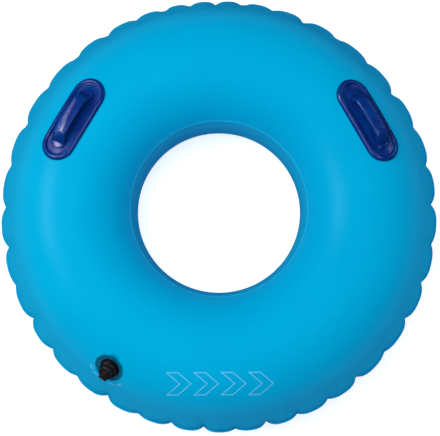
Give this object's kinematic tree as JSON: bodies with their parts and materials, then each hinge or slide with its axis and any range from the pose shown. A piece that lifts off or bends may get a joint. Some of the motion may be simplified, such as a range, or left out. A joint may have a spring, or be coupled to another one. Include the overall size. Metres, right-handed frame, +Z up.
{
  "type": "inflatable river tube",
  "caption": "Round inflatable river tube with a lobed outer weld, two moulded grab handles and a screw valve.",
  "frame": {"origin": "on the floor, at the middle of the hole", "axes": "+Z up, square to the plane of the ring; +Y away from the valve's side, between the two handles; +X towards the right handle"},
  "size_m": [1.0686, 1.0691, 0.3524],
  "materials": {
    "film": "satin",
    "band_film": "satin",
    "handle": "gloss",
    "cup": "satin",
    "black_pvc": "gloss",
    "seal": "matte",
    "silicone": "satin"
  },
  "bodies": {
    "tube": {"upper_skin": "film", "lower_skin": "film", "outer_weld": "film", "inner_band": "band_film", "left_handle_base": "handle", "left_handle_grip": "handle", "left_handle_doubler": "film", "right_handle_base": "handle", "right_handle_grip": "handle", "right_handle_doubler": "film", "valve_cup": "cup", "valve_socket": "black_pvc"},
    "insert_seal": {"socket_o_ring": "seal"},
    "insert": {"valve_insert": "black_pvc"},
    "diaphragm": {"valve_diaphragm": "silicone"},
    "tether": {"cap_tether": "black_pvc"},
    "cap": {"valve_cap": "black_pvc", "cap_washer": "seal"}
  },
  "joints": [
    {"name": "insert_lift", "type": "slide", "parent": "tube", "child": "insert_seal", "axis": [-0.3784, -0.561, 0.7363], "range_m": [0, 0.008]},
    {"name": "insert_turn", "type": "hinge", "parent": "insert_seal", "child": "insert", "pos_m": [-0.25779, -0.38219, 0.28018], "axis": [-0.3784, -0.561, 0.7363], "range_deg": [0, 720]},
    {"name": "diaphragm_drop", "type": "slide", "parent": "insert", "child": "diaphragm", "axis": [-0.3784, -0.561, 0.7363], "range_m": [-0.002, 0], "stiffness_N_per_m": 50, "springref_m": 0.001},
    {"name": "cap_lift", "type": "slide", "parent": "insert", "child": "tether", "axis": [-0.3784, -0.561, 0.7363], "range_m": [0, 0.0055]},
    {"name": "cap_turn", "type": "hinge", "parent": "tether", "child": "cap", "pos_m": [-0.25779, -0.38219, 0.28018], "axis": [-0.3784, -0.561, 0.7363], "range_deg": [0, 660]}
  ],
  "couplings": [
    {"joint": "insert_lift", "follows": "insert_turn", "m_per_rad": 0.00063662},
    {"joint": "cap_lift", "follows": "cap_turn", "m_per_rad": 0.00047746}
  ]
}
